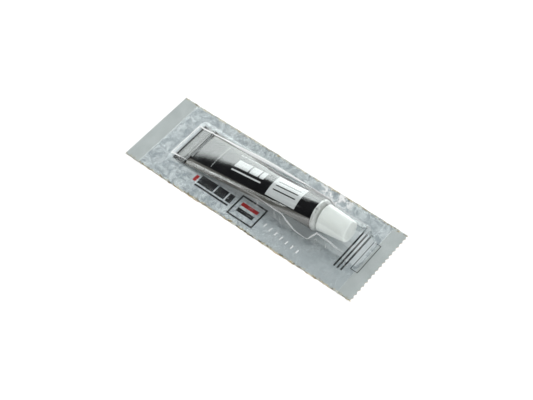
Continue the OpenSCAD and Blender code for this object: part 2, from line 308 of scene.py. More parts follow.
black_ink = together(tree, [
    bars_of(tree, place, FOIL_BARS, FOIL_BAR_MIDDLE, FOIL_BAR_HEIGHT),
    block(tree, place, *FOIL_UNDERLINE),
    block(tree, place, *FRAME_BLACK_BAR),
    outline(tree, place, *FRAME, FRAME_LINE),
    row_of(tree, place, RULE_START, RULE_STEP, RULE_SIZE, RULES),
    outline(tree, place, *THIN_FRAME, THIN_FRAME_LINE)])
red_ink = together(tree, [block(tree, place, *RED_TAB), block(tree, place, *FRAME_RED_BAR)])
ink_colour = shades(tree, flecks, (0.3, (0.012, 0.012, 0.014)), (0.7, (0.024, 0.024, 0.027)))
inked_colour = colour_mix(tree, black_ink, foil_colour, ink_colour)
printed_colour = colour_mix(tree, red_ink, inked_colour, RED_INK)

edge_gap = sums(tree, "SUBTRACT", PACK_HALF_WIDTH, sums(tree, "ABSOLUTE", across))
tear_reach = straight(tree, flecks, 0.38, 0.68, TEAR_NARROW, TEAR_WIDE)
torn = spread(tree, sums(tree, "SUBTRACT", edge_gap, tear_reach), TEAR_BLUR, -TEAR_BLUR)
shreds = grain(tree, place, SHREDS_PER_METRE, detail=3, roughness=0.6)
tear_colour = shades(tree, shreds, (0.4, (0.04, 0.036, 0.026)), (0.47, (0.3, 0.22, 0.1)),
                     (0.53, (0.55, 0.47, 0.28)), (0.6, (0.8, 0.77, 0.68)))
height = times(tree, sums(tree, "ADD", patches, times(tree, flecks, FLECK_HEIGHT_SHARE)), stuck)
shader = put(tree, "ShaderNodeBsdfPrincipled", Metallic=0.1,
             Base_Color=colour_mix(tree, torn, printed_colour, tear_colour),
             Roughness=spread(tree, patches, 0.35, 0.65, 0.5, 0.36),
             Normal=bumps(tree, height, PATCH_DEPTH, strength=0.7))
show(tree, shader, output)
dress(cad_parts["backing_foil"], satin_foil)


# Tube: drawn from one aluminium slug, lacquered black outside with a white print, tan low on its sides,
# and lighter there as a painted reflection of the foil below, bare at the shoulder and neck. Its tail is
# pressed flat and folded over once; the filled sleeve swells from the fold to the round end.
TILT = math.radians(5.29923)
ALONG_TUBE = Matrix.Translation(TAIL) @ Matrix.Rotation(-TILT, 4, "Y")
ROUND_SIDES = 128
SMOOTH_ANGLE = math.radians(35)

TUBE_LENGTH = 0.069
SLEEVE_RADIUS = 0.00672
TAIL_HALF = 0.00032
FOLD_LAP = 0.0005
RIM_LAP = 0.0004
SLEEVE_CUTS = 70
DENT_SIZE = 0.011
DENT_DEPTH = 0.0001

FOLD_LENGTH = 0.0065
FOLD_TOP = 0.00062
FOLD_BOTTOM = -0.00035
FOLD_LOW = 0.0001
FOLD_SPRING = 0.00056
FOLD_SPRING_POWER = 1.2
FOLD_DROOP = 0.0003
FOLD_DROOP_START_SHARE = 0.82
FOLD_GROOVE = 0.00006
FOLD_GROOVE_PLACE = 0.0053
FOLD_GROOVE_WIDTH = 0.00025
FOLD_CUTS = 40
BEND_ROUNDING = 0.0002
EDGE_ROUNDING = 0.0001

# the turned end of the tube: places along it and radii
RIM_RADIUS = 0.00675
NECK_RADIUS = 0.0031
SHOULDER_RINGS = ((0.0688, 0.0066), (0.0688, 0.00668), (0.0689, RIM_RADIUS), (0.0697, RIM_RADIUS),
                  (0.06985, 0.0066), (0.0713, 0.0037), (0.0714, 0.0035), (0.0714, NECK_RADIUS),
                  (0.0769, NECK_RADIUS), (0.077, 0.003), (0.077, 0.0025), (0.0816, 0.0016),
                  (0.08175, 0.0014))
THREAD_START = 0.0723
THREAD_HEIGHT = 0.00045
THREAD_WIDTH = 0.0005
THREAD_CREST_SHARE = 0.5
THREAD_ROOT = 0.0002
THREAD_PITCH = 0.00125
THREAD_TURNS = 3
THREAD_STEPS = 48

HAZE_PER_METRE = 140
SCUFFS_PER_METRE = 900
SCUFF_STRETCH = (0.25, 1.6, 1)
SCUFF_TURN = (0, 0, 0.35)
SCUFF_DEPTH = 0.00001
INK_ROUGHNESS = 0.2
LACQUER_IOR = 1.8
TAN_AND_REFLECTION_BELOW_RISE = (0.52, 0.45)
PRINT_ABOVE_RISE = 0.5
WHITE_INK = (0.62, 0.635, 0.635, 1)
PANEL = ((0.0112, 0.0012), (0.0148, 0.0104))
PANEL_RULE_START = (0.0112, -0.0009)
PANEL_RULE_STEP = (0, 0.0021)
PANEL_RULE_SIZE = (0.0112, 0.0005)
PANEL_RULES = 3
TUBE_BARS = ((-0.0160, 0.0071), (-0.0082, 0.0045), (-0.0030, 0.0022))
TUBE_BAR_MIDDLE = 0.0027
TUBE_BAR_HEIGHT = 0.0040
TUBE_UNDERLINE = ((-0.0084, -0.0010), (0.0152, 0.0007))
CROSS_DASH_START = (-0.0244, -0.004)
CROSS_DASH_STEP = (0, 0.0011)
CROSS_DASH_SIZE = (0.0003, 0.0006)
CROSS_DASHES = 13
LONG_DASH_START = (-0.017, 0.0076)
LONG_DASH_STEP = (0.0018, 0)
LONG_DASH_SIZE = (0.0011, 0.0004)
LONG_DASHES = 8

# pale lines on the bent tail, at the groove and the free edge of the fold: painted highlights of those
# edges, each a distance from its end and a width
FOLD_EDGE_HIGHLIGHTS = ((0.005, 0.00025), (0.0066, 0.0006))
FOLD_HIGHLIGHT_MIDDLE = 0.0036
FOLD_HIGHLIGHT_LENGTH = 0.0155

TURNING_STRETCH = (9, 1, 1)
TURNING_PER_METRE = 500
SPOTS_PER_METRE = 900
TURNING_DEPTH = 0.00002


def clear_selection():
    """Leaves edit mode and selects nothing."""
    if bpy.context.object and bpy.context.object.mode != "OBJECT":
        bpy.ops.object.mode_set(mode="OBJECT")
    bpy.ops.object.select_all(action="DESELECT")


def settle(piece, placing):
    """Moves, turns or stretches a piece and leaves its object at the origin."""
    clear_selection()
    piece.select_set(True)
    bpy.context.view_layer.objects.active = piece
    piece.matrix_world = placing @ piece.matrix_world
    bpy.ops.object.transform_apply(location=True, rotation=True, scale=True)


def choose_edges(piece, wanted):
    """Goes into edit mode with the edges selected whose two ends the function wanted accepts."""
    bpy.ops.object.mode_set(mode="EDIT")
    bpy.ops.mesh.select_mode(type="EDGE")
    bpy.ops.mesh.select_all(action="DESELECT")
    bpy.ops.object.mode_set(mode="OBJECT")
    points = piece.data.vertices
    for edge in piece.data.edges:
        edge.select = wanted(*(points[end].co for end in edge.vertices))
    bpy.ops.object.mode_set(mode="EDIT")


def cut_across(piece, wanted, cuts):
    """Cuts the wanted edges into equal lengths."""
    choose_edges(piece, wanted)
    bpy.ops.mesh.subdivide(number_cuts=cuts)
    bpy.ops.object.mode_set(mode="OBJECT")


def drawn_out(name, rings, sides):
    """A turned shell: a circle extruded ring by ring along +X; each ring is a place and a radius."""
    clear_selection()
    start, radius = rings[0]
    bpy.ops.mesh.primitive_circle_add(vertices=sides, radius=radius, location=(start, 0, 0),
                                      rotation=(0, math.pi / 2, 0))
    shell = bpy.context.object
    shell.name = name
    bpy.ops.object.transform_apply(location=True, rotation=True, scale=True)
    bpy.ops.object.mode_set(mode="EDIT")
    bpy.ops.mesh.select_all(action="SELECT")
    for (place, radius), (next_place, next_radius) in zip(rings, rings[1:]):
        bpy.ops.mesh.extrude_edges_move(TRANSFORM_OT_translate={"value": (next_place - place, 0, 0)})
        grow = next_radius / radius
        bpy.ops.transform.resize(value=(1, grow, grow), center_override=(next_place, 0, 0))
    bpy.ops.mesh.edge_face_add()
    bpy.ops.mesh.select_all(action="SELECT")
    bpy.ops.mesh.normals_make_consistent(inside=False)
    bpy.ops.object.mode_set(mode="OBJECT")
    return shell


def clamped(value):
    """A value kept between 0 and 1."""
    return min(1, max(0, value))


# the sleeve: a cylinder cut into rings, then flattened towards the tail
clear_selection()
sleeve_start = FOLD_LENGTH - FOLD_LAP
sleeve_end = TUBE_LENGTH + RIM_LAP
bpy.ops.mesh.primitive_cylinder_add(vertices=ROUND_SIDES, radius=SLEEVE_RADIUS,
                                    depth=sleeve_end - sleeve_start, end_fill_type="NOTHING",
                                    location=((sleeve_start + sleeve_end) / 2, 0, 0),
                                    rotation=(0, math.pi / 2, 0))
sleeve = bpy.context.object
sleeve.name = "tube"
bpy.ops.object.transform_apply(location=True, rotation=True, scale=True)
cut_across(sleeve, lambda first, last: abs(first.x - last.x) > FOLD_LENGTH, SLEEVE_CUTS)
rise = sleeve.data.attributes.new("rise", "FLOAT", "POINT")
for point in sleeve.data.vertices:
    angle = math.atan2(point.co.z, point.co.y)
    roundness = clamped((point.co.x - FOLD_LENGTH) / (TUBE_LENGTH - FOLD_LENGTH))
    rise.data[point.index].value = math.sin(angle)
    flat_place = math.pi * SLEEVE_RADIUS / 2 * (1 - 2 * abs(angle) / math.pi)
    point.co.y = flat_place + (SLEEVE_RADIUS * math.cos(angle) - flat_place) * roundness
    point.co.z = (TAIL_HALF + (SLEEVE_RADIUS - TAIL_HALF) * roundness) * math.sin(angle)

# soft dents from handling
dents = bpy.data.textures.new("handling_dents", "CLOUDS")
dents.noise_scale = DENT_SIZE
dents.noise_depth = 1
denting = sleeve.modifiers.new("dents", "DISPLACE")
denting.texture = dents
denting.texture_coords = "LOCAL"
denting.strength = DENT_DEPTH
bpy.ops.object.modifier_apply(modifier=denting.name)

# the folded tail: a block rounded at its bend, its upper layer springing up towards the free edge
clear_selection()
flat_width = math.pi * RIM_RADIUS
bpy.ops.mesh.primitive_cube_add(size=1)
fold = bpy.context.object
fold.name = "tail_fold"
settle(fold, Matrix.Translation((FOLD_LENGTH / 2, 0, (FOLD_TOP + FOLD_BOTTOM) / 2))
       @ Matrix.Diagonal((FOLD_LENGTH, flat_width, FOLD_TOP - FOLD_BOTTOM, 1)))
cut_across(fold, lambda first, last: abs(first.x - last.x) > FOLD_LENGTH / 2, FOLD_CUTS)
cut_across(fold, lambda first, last: abs(first.y - last.y) > flat_width / 2, FOLD_CUTS)
for point in fold.data.vertices:
    if point.co.z > 0:
        point.co.z -= FOLD_SPRING * (1 - (point.co.x / FOLD_LENGTH) ** FOLD_SPRING_POWER)
        point.co.z -= FOLD_GROOVE * math.exp(-((point.co.x - FOLD_GROOVE_PLACE) / FOLD_GROOVE_WIDTH) ** 2)
        past_start = max(0, 2 * abs(point.co.y) / flat_width - FOLD_DROOP_START_SHARE)
        droop = past_start / (1 - FOLD_DROOP_START_SHARE)
        point.co.z = max(FOLD_LOW, point.co.z - FOLD_DROOP * droop ** 2)
choose_edges(fold, lambda first, last: first.x + last.x < EDGE_ROUNDING and first.z * last.z > 0)
bpy.ops.mesh.bevel(offset=BEND_ROUNDING, segments=5, profile=0.5)
bpy.ops.object.mode_set(mode="OBJECT")
whole_rise = fold.data.attributes.new("rise", "FLOAT", "POINT")
for mark in whole_rise.data:
    mark.value = 1
rounding = fold.modifiers.new("pressed_edges", "BEVEL")
rounding.width = EDGE_ROUNDING
rounding.segments = 2
rounding.limit_method = "ANGLE"
bpy.ops.object.modifier_apply(modifier=rounding.name)

# the shoulder, neck and closed nozzle, turned in one
shoulder = drawn_out("shoulder", SHOULDER_RINGS, ROUND_SIDES)

# the thread: a small ridge carried round the neck by a screw
clear_selection()
bpy.ops.mesh.primitive_plane_add(size=1)
thread = bpy.context.object
thread.name = "neck_thread"
thread_middle = NECK_RADIUS + THREAD_HEIGHT / 2
settle(thread, Matrix.Translation((thread_middle, 0, 0)) @ Matrix.Rotation(math.pi / 2, 4, "X")
       @ Matrix.Diagonal((THREAD_HEIGHT + THREAD_ROOT, THREAD_WIDTH, 1, 1)))
for point in thread.data.vertices:
    if point.co.x > thread_middle:
        point.co.z *= THREAD_CREST_SHARE
winding = thread.modifiers.new("winding", "SCREW")
winding.screw_offset = THREAD_PITCH
winding.iterations = THREAD_TURNS
winding.steps = THREAD_STEPS
winding.render_steps = THREAD_STEPS
bpy.ops.object.modifier_apply(modifier=winding.name)
settle(thread, Matrix.Translation((THREAD_START, 0, 0)) @ Matrix.Rotation(math.pi / 2, 4, "Y"))

lacquer, tree, output = new_finish("black_lacquer")
place = place_of(tree)
haze_and_painted_glint = grain(tree, place, HAZE_PER_METRE, detail=4, roughness=0.5)
scuffs = grain(tree, place_of(tree, SCUFF_STRETCH, SCUFF_TURN), SCUFFS_PER_METRE, detail=5, roughness=0.6)

panel_rules = row_of(tree, place, PANEL_RULE_START, PANEL_RULE_STEP, PANEL_RULE_SIZE, PANEL_RULES)
panel = sums(tree, "SUBTRACT", block(tree, place, *PANEL), panel_rules)
bars = bars_of(tree, place, TUBE_BARS, TUBE_BAR_MIDDLE, TUBE_BAR_HEIGHT)
cross_dashes = row_of(tree, place, CROSS_DASH_START, CROSS_DASH_STEP, CROSS_DASH_SIZE, CROSS_DASHES)
long_dashes = row_of(tree, place, LONG_DASH_START, LONG_DASH_STEP, LONG_DASH_SIZE, LONG_DASHES)
print_marks = together(tree, [panel, bars, block(tree, place, *TUBE_UNDERLINE), cross_dashes, long_dashes])
height_round = put(tree, "ShaderNodeAttribute", {"attribute_name": "rise"}).outputs["Fac"]
ink = times(tree, sums(tree, "GREATER_THAN", height_round, PRINT_ABOVE_RISE), print_marks)
# painted highlights along the fold's groove and free edge, broken up by the scuffs
fold_edge_highlights = together(tree, [block(tree, place, (TAIL.x + highlight_place, FOLD_HIGHLIGHT_MIDDLE), (width, FOLD_HIGHLIGHT_LENGTH))
                         for highlight_place, width in FOLD_EDGE_HIGHLIGHTS])
worn_ink_and_painted_highlights = together(tree, [times(tree, ink, spread(tree, scuffs, 0.26, 0.34, 0.75, 1)),
                           times(tree, fold_edge_highlights, spread(tree, scuffs, 0.35, 0.55, 0.3, 0.8))])
black = shades(tree, haze_and_painted_glint, (0.3, (0.006, 0.006, 0.007)), (0.7, (0.011, 0.011, 0.012)))
# the lower sides: a tan tint, made lighter as a painted reflection of the foil below
tan_and_painted_reflection = shades(tree, haze_and_painted_glint, (0.3, (0.1, 0.096, 0.086)), (0.7, (0.17, 0.165, 0.15)))
printed = colour_mix(tree, worn_ink_and_painted_highlights, black, WHITE_INK)
roughness = sums(tree, "ADD", spread(tree, scuffs, 0.3, 0.75, 0.1, 0.16), times(tree, ink, INK_ROUGHNESS))
shader = put(tree, "ShaderNodeBsdfPrincipled", Roughness=roughness, IOR=LACQUER_IOR,
             Base_Color=colour_mix(tree, spread(tree, height_round, *TAN_AND_REFLECTION_BELOW_RISE), printed, tan_and_painted_reflection),
             Normal=bumps(tree, scuffs, SCUFF_DEPTH, strength=0.04))
show(tree, shader, output)

bare_metal, tree, output = new_finish("bare_aluminium")
turning = grain(tree, place_of(tree, TURNING_STRETCH), TURNING_PER_METRE, detail=4, roughness=0.6)
spots = grain(tree, place_of(tree), SPOTS_PER_METRE, detail=4, roughness=0.55)
spot_colour = shades(tree, spots, (0.33, (0.2, 0.2, 0.19)), (0.4, (0.62, 0.63, 0.61)),
                     (0.65, (0.78, 0.79, 0.77)))
shader = put(tree, "ShaderNodeBsdfPrincipled", Base_Color=spot_colour, Metallic=0.35,
             Roughness=spread(tree, turning, 0.3, 0.7, 0.35, 0.5),
             Normal=bumps(tree, turning, TURNING_DEPTH, strength=0.4))
show(tree, shader, output)

tube_parts = ((sleeve, lacquer), (fold, lacquer), (shoulder, bare_metal), (thread, bare_metal))
clear_selection()
for part, finish in tube_parts:
    dress(part, finish)
    part.select_set(True)
bpy.context.view_layer.objects.active = sleeve
bpy.ops.object.join()
tube = bpy.context.object
settle(tube, ALONG_TUBE)
bpy.ops.object.shade_smooth_by_angle(angle=SMOOTH_ANGLE)
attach(tube, "pack_and_tube")
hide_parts("tube_body")


# Sealing band: latex compound rolled inside the tail before it is pressed flat.
# It glues the two walls together and can't be seen from outside.
LUMPS_PER_METRE = 900
LUMP_DEPTH = 0.00005

latex, tree, output = new_finish("latex_compound")
lumps = grain(tree, place_of(tree), LUMPS_PER_METRE, detail=4, roughness=0.5)
shader = put(tree, "ShaderNodeBsdfPrincipled",
             Base_Color=shades(tree, lumps, (0.3, (0.6, 0.5, 0.33)), (0.7, (0.76, 0.67, 0.49))),
             Roughness=spread(tree, lumps, 0.2, 0.8, 0.6, 0.8), Normal=bumps(tree, lumps, LUMP_DEPTH))
show(tree, shader, output)
dress(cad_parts["end_seal_band"], latex)


# Glue: the clear thin liquid that fills the sleeve behind the shoulder.
# It is inside the closed tube, so only a cut would show it.
SWIRLS_PER_METRE = 200
GLUE_IOR = 1.45

adhesive, tree, output = new_finish("clear_adhesive")
swirls = grain(tree, place_of(tree), SWIRLS_PER_METRE, detail=3, roughness=0.5)
shader = put(tree, "ShaderNodeBsdfPrincipled", IOR=GLUE_IOR,
             Base_Color=shades(tree, swirls, (0.3, (0.9, 0.9, 0.82)), (0.7, (0.96, 0.96, 0.9))),
             Roughness=spread(tree, swirls, 0.2, 0.8, 0.04, 0.08))
show(tree, shader, output)
dress(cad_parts["glue_fill"], adhesive)


# Cap liner: a punched disc of soft foam pressed into the end of the cap.
# It closes the mouth of the nozzle.
FOAM_CELLS_PER_METRE = 4200.0
FOAM_CELL_DEPTH = 0.00004

foam, tree, output = new_finish("soft_foam")
cells = put(tree, "ShaderNodeTexVoronoi", Vector=place_of(tree), Scale=FOAM_CELLS_PER_METRE)
cell_place = cells.outputs["Distance"]
shader = put(tree, "ShaderNodeBsdfPrincipled", Roughness=0.8,
             Base_Color=shades(tree, cell_place, (0.0, (0.95, 0.95, 0.93)), (0.7, (0.84, 0.84, 0.82))),
             Normal=bumps(tree, cell_place, FOAM_CELL_DEPTH))
show(tree, shader, output)
dress(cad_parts["cap_liner"], foam)


# Cap: a smooth tapered screw cap, moulded in milky white polyethylene.
# It screws on the neck, and its thin wall lets some light through.
FLOW_STRETCH = (0.3, 1, 1)
FLOW_PER_METRE = 300
PORES_PER_METRE = 2600
PORE_DEPTH = 0.00002
CAP_IOR = 1.5
LIGHT_REACH = (0.004, 0.004, 0.0038)

milky, tree, output = new_finish("milky_polyethylene")
flow = grain(tree, place_of(tree, FLOW_STRETCH), FLOW_PER_METRE, detail=4, roughness=0.5)
pores = grain(tree, place_of(tree), PORES_PER_METRE, detail=3, roughness=0.6)
shader = put(tree, "ShaderNodeBsdfPrincipled", IOR=CAP_IOR,
             Base_Color=shades(tree, flow, (0.3, (0.8, 0.83, 0.79)), (0.7, (0.87, 0.895, 0.865))),
             Roughness=spread(tree, flow, 0.3, 0.7, 0.26, 0.36), Subsurface_Weight=0.35,
             Subsurface_Radius=LIGHT_REACH, Subsurface_Scale=0.5,
             Normal=bumps(tree, pores, PORE_DEPTH, strength=0.3))
show(tree, shader, output)
dress(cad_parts["cap"], milky)


# Film: clear glossy film, formed into a pocket over the tube and sealed flat to the foil all round.
# It is cut with the backing at the ends and torn along its sides, and wrinkles where it is stuck.
# The strip behind the tail seal stays on the backing when the lid is peeled.
FILM_BACK = -0.0585
FILM_FRONT = 0.0585
FILM_LENGTH = FILM_FRONT - FILM_BACK
FILM_WIDTH = 0.0400058
FILM_THICKNESS = 0.00006
FILM_COLUMNS = 280
COLUMNS_PER_TOOTH = 8
TEETH = 17
TOOTH_DEPTH = 0.0008
CUT_TOLERANCE = 0.0001
TEAR_DEPTH = 0.0012
TEAR_SIZE = 0.0016
EDGE_SHARE = 0.9999
FILM_SMOOTH_ANGLE = math.radians(60)

START_HEIGHT = 0.02
MISSED_HEIGHT = 0.015
FLANGE_TOP = 0.0005
FLANGE_HEIGHT = 0.00037
MERGE_DISTANCE = 0.000001
RAY_HEIGHT = 0.05
ROW_DIGITS = 6
TAIL_INSET = 0.0005
CLING_GAP = 0.0003
CLING_SHARE = 0.78
FREE_START = ROUND_END - 0.02
FREE_END = ROUND_END - 0.001
EASING_PASSES = 5

FOOT_RIDGE = 0.00006
FOOT_RIDGE_PLACE = 0.0003
FOOT_RIDGE_WIDTH = 0.00028
LOOSE_MARGIN = 0.002
LOOSE_BAND_MARGIN = 0.0015
# each a name, the size of a wrinkle and its height
WRINKLES = (("creases", 0.006, 0.00022), ("crinkles", 0.0022, 0.0001))

RIPPLES_PER_METRE = 300
SLACK_PER_METRE = 90
SLACK_HEIGHT_SHARE = 0.25
RIPPLE_DEPTH = 0.0005
FILM_TINT = (0.965, 0.975, 0.975, 1)
FILM_GLOSS = (1, 1, 1, 1)
GLANCE_POWER = 5.0
SHINE_FACING = 0.045
SHINE_EDGEWISE = 0.95

# the white of the painted highlights on the film's creases, and below it how strong each of them is
PAINTED_GLINT_COLOUR = (0.95, 0.965, 0.965, 1)
FOOT_WAVER = 0.0009
STRETCHED_ACROSS = (POCKET_MIDDLE, POCKET_MIDDLE + 0.004)
STRETCHED_TAIL = (-0.037, -0.041)
STRETCHED_FRONT = (CAP_START + 0.003, ROUND_END)
FOOT_LINE_HALF = (0.00012, 0.00045)
FOOT_LINE_CORE = 0.00003
FOOT_LINE_PAINTED_GLINT = (0.34, 0.92)
FOOT_LINE_FADE = (0.046, 0.038)
WALL_INNER = (-0.0003, -0.0026)
WALL_INNER_BLUR = 0.0006
WALL_OUTER = (0.0004, 0.0001)
WALL_PAINTED_GLINT = 0.68
STROKES = 7
STROKES_PLACE = (0.0105, -0.012, 0)
STROKES_TURN = (0, 0, math.radians(-97))
STROKE_STEP = (0, 0.003)
STROKE_SIZE = (0.0019, 0.0005)
STROKE_PAINTED_GLINT = 0.6
BUNCH_PLACE = (0.024, 0.0165, 0)
BUNCH_SIZE = (0.012, 0.005, 1)
BUNCH_PAINTED_GLINT = 0.6
KINK_PAINTED_GLINT = 0.4

# the former: both solids of the film in one, merged
clear_selection()
for name in ("clear_film", "film_tail_strip"):
    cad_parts[name].select_set(True)
bpy.ops.object.duplicate()
bpy.context.view_layer.objects.active = bpy.context.selected_objects[0]
bpy.ops.object.join()
former = bpy.context.object
bpy.ops.object.mode_set(mode="EDIT")
bpy.ops.mesh.select_all(action="SELECT")
bpy.ops.mesh.remove_doubles(threshold=MERGE_DISTANCE)
bpy.ops.object.mode_set(mode="OBJECT")

# a flat sheet drawn down over the former; where it misses it, it goes down to the flange
clear_selection()
bpy.ops.mesh.primitive_grid_add(x_subdivisions=FILM_COLUMNS, y_subdivisions=TEETH * COLUMNS_PER_TOOTH,
                                size=1, calc_uvs=True)
film = bpy.context.object
film.name = "film"
settle(film, Matrix.Translation((0, 0, START_HEIGHT)) @ Matrix.Diagonal((FILM_LENGTH, FILM_WIDTH, 1, 1)))
forming = film.modifiers.new("forming", "SHRINKWRAP")
forming.target = former
forming.wrap_method = "PROJECT"
forming.use_project_z = True
forming.use_negative_direction = True
forming.use_positive_direction = False
bpy.ops.object.modifier_apply(modifier=forming.name)
bpy.data.objects.remove(former)
for point in film.data.vertices:
    if point.co.z > MISSED_HEIGHT:
        point.co.z = FLANGE_TOP
    point.co.z -= FLANGE_TOP - FLANGE_HEIGHT


def eased(value, low, high):
    """0 below the low end, 1 above the high end, and a smooth rise between."""
    share = clamped((value - low) / (high - low))
    return share * share * (3 - 2 * share)


def tube_top(x, y):
    """The height of the tube at a place in plan, or None beside it."""
    touching, top, _, _ = tube.ray_cast(Vector((x, y, RAY_HEIGHT)), Vector((0, 0, -1)))
    return top.z if touching else None


# it is drawn down until it almost touches the tube, and clings to the sleeve
pocket_tops = {}
for point in film.data.vertices:
    row = round(point.co.x, ROW_DIGITS)
    pocket_tops[row] = max(point.co.z, pocket_tops.get(row, 0))
tail_row = min(row for row in pocket_tops if row > TAIL.x + TAIL_INSET)
for point in film.data.vertices:
    free = eased(point.co.x, FREE_START, FREE_END)
    row = max(tail_row, round(point.co.x, ROW_DIGITS))
    middle = tube_top(row, TAIL.y)
    if middle and free < 1:
        drawn = (middle + CLING_GAP - FLANGE_HEIGHT) / (pocket_tops[row] - FLANGE_HEIGHT)
        point.co.z += (point.co.z - FLANGE_HEIGHT) * (min(1, drawn) - 1) * (1 - free)
    top = tube_top(point.co.x, point.co.y)
    if top:
        share = clamped((point.co.x - TAIL.x - FOLD_LENGTH) / (TUBE_LENGTH - FOLD_LENGTH))
        half_width = (math.pi / 2 * (1 - share) + share) * SLEEVE_RADIUS
        clinging = (1 - eased(abs(point.co.y - TAIL.y) / half_width, CLING_SHARE, 1.0)) * (1 - free)
        point.co.z += (min(point.co.z, top + CLING_GAP) - point.co.z) * clinging
easing = film.modifiers.new("easing", "SMOOTH")
easing.iterations = EASING_PASSES
easing.use_x = False
easing.use_y = False
bpy.ops.object.modifier_apply(modifier=easing.name)


def pocket_reach(place):
    """How far a point lies outside the foot of the pocket, in plan."""
    taper = clamped((place.x - TAIL.x) / (ROUND_END - TAIL.x))
    narrowing = clamped((place.x - ROUND_END) / (CAP_START - ROUND_END))
    half = TAIL_HALF_POCKET + (ROUND_HALF_POCKET - TAIL_HALF_POCKET) * taper
    half += (CAP_HALF_POCKET - ROUND_HALF_POCKET) * narrowing
    return max(abs(place.y - POCKET_MIDDLE) - half, POCKET_BACK - place.x, place.x - POCKET_FRONT)


# the crease at the foot of the pocket stands up as a fine ridge, and the sheet puckers outside it
puckering = film.vertex_groups.new(name="puckering")
for point in film.data.vertices:
    reach = pocket_reach(point.co)
    point.co.z += FOOT_RIDGE * math.exp(-((reach - FOOT_RIDGE_PLACE) / FOOT_RIDGE_WIDTH) ** 2)
    loose = eased(reach, 0, LOOSE_MARGIN) * eased(PACK_HALF_WIDTH - abs(point.co.y), 0, LOOSE_MARGIN)
    loose *= eased(point.co.x, TAIL_BAND_END, TAIL_BAND_END + LOOSE_BAND_MARGIN)
    loose *= 1 - eased(point.co.x, CAP_BAND_START - LOOSE_BAND_MARGIN, CAP_BAND_START)
    puckering.add([point.index], loose, "REPLACE")
for name, cell, depth in WRINKLES:
    wrinkles = bpy.data.textures.new(name, "CLOUDS")
    wrinkles.noise_scale = cell
    wrinkles.noise_type = "HARD_NOISE"
    lifting = film.modifiers.new(name, "DISPLACE")
    lifting.texture = wrinkles
    lifting.texture_coords = "LOCAL"
    lifting.direction = "Z"
    lifting.mid_level = 0
    lifting.strength = depth
    lifting.vertex_group = puckering.name
    bpy.ops.object.modifier_apply(modifier=lifting.name)

# the torn sides and the zigzag cut
tears = bpy.data.textures.new("tears", "CLOUDS")
tears.noise_scale = TEAR_SIZE
for point in film.data.vertices:
    if abs(point.co.y) / (FILM_WIDTH / 2) > EDGE_SHARE:
        depth = tears.evaluate((point.co.x, point.co.y, 0))[3]
        point.co.y -= math.copysign(TEAR_DEPTH * depth, point.co.y)
    if point.co.x > FILM_FRONT - CUT_TOLERANCE:
        turns = (point.co.y / FILM_WIDTH + 0.5) * TEETH
        point.co.x -= TOOTH_DEPTH * (1 - abs(2 * (turns % 1) - 1))

thickening = film.modifiers.new("thickness", "SOLIDIFY")
thickening.thickness = FILM_THICKNESS
thickening.offset = 0
bpy.ops.object.modifier_apply(modifier=thickening.name)
bpy.ops.object.shade_smooth_by_angle(angle=FILM_SMOOTH_ANGLE)

# the sheet's own plan, from its UV map, so that the finish moves with the lid
clear_film, tree, output = new_finish("clear_film")
sheet_place = put(tree, "ShaderNodeVectorMath", {"operation": "MULTIPLY_ADD"},
                  in_0=put(tree, "ShaderNodeTexCoord").outputs["UV"], in_1=(FILM_LENGTH, FILM_WIDTH, 0),
                  in_2=(FILM_BACK, -FILM_WIDTH / 2, 0)).outputs[0]
axes = put(tree, "ShaderNodeSeparateXYZ", Vector=sheet_place)
along, across = axes.outputs["X"], axes.outputs["Y"]
flange = sealed_ends(tree, along)
stuck = times(tree, flange, sums(tree, "SUBTRACT", 1.0, under_pocket(tree, along, across)))
ripples = grain(tree, sheet_place, RIPPLES_PER_METRE, detail=6, roughness=0.6, distortion=1.0)
slack = grain(tree, sheet_place, SLACK_PER_METRE, detail=2, roughness=0.4)
height = sums(tree, "ADD", times(tree, ripples, stuck), times(tree, slack, SLACK_HEIGHT_SHARE))
relief = bumps(tree, height, RIPPLE_DEPTH, strength=0.7)
facing = put(tree, "ShaderNodeLayerWeight", Blend=0.5, Normal=relief).outputs["Facing"]
shine = straight(tree, sums(tree, "POWER", facing, GLANCE_POWER), 0.0, 1.0, SHINE_FACING, SHINE_EDGEWISE)
clear = put(tree, "ShaderNodeBsdfTransparent", Color=FILM_TINT)
gloss = put(tree, "ShaderNodeBsdfGlossy", Color=FILM_GLOSS, Roughness=0.06, Normal=relief)
skin = put(tree, "ShaderNodeMixShader", in_0=shine, in_1=clear.outputs[0], in_2=gloss.outputs[0])

# creases get painted highlights, white where they would catch the light: the foot of the pocket, most where
# the film is stretched, at the tail and on the far side, the wall above it there, a row of short puckers on
# the near side, a bunch beside the shoulder on the far side, and stray kinks
wavering = times(tree, sums(tree, "SUBTRACT", slack, 0.5), FOOT_WAVER)
from_foot = sums(tree, "ADD", past_foot(tree, along, across), wavering)
stretched = together(tree, [spread(tree, across, *STRETCHED_ACROSS), spread(tree, along, *STRETCHED_TAIL)])
stretched = times(tree, stretched, spread(tree, along, *STRETCHED_FRONT))
line_half = straight(tree, stretched, 0.0, 1.0, *FOOT_LINE_HALF)
foot_line = times(tree, spread(tree, sums(tree, "ABSOLUTE", from_foot), line_half, FOOT_LINE_CORE),
                  straight(tree, stretched, 0.0, 1.0, *FOOT_LINE_PAINTED_GLINT), spread(tree, along, *FOOT_LINE_FADE))
wall_top = straight(tree, along, TAIL.x, ROUND_END, *WALL_INNER)
above_foot = spread(tree, sums(tree, "SUBTRACT", from_foot, wall_top), 0.0, WALL_INNER_BLUR)
far_wall = times(tree, above_foot, spread(tree, from_foot, *WALL_OUTER), stretched, WALL_PAINTED_GLINT)

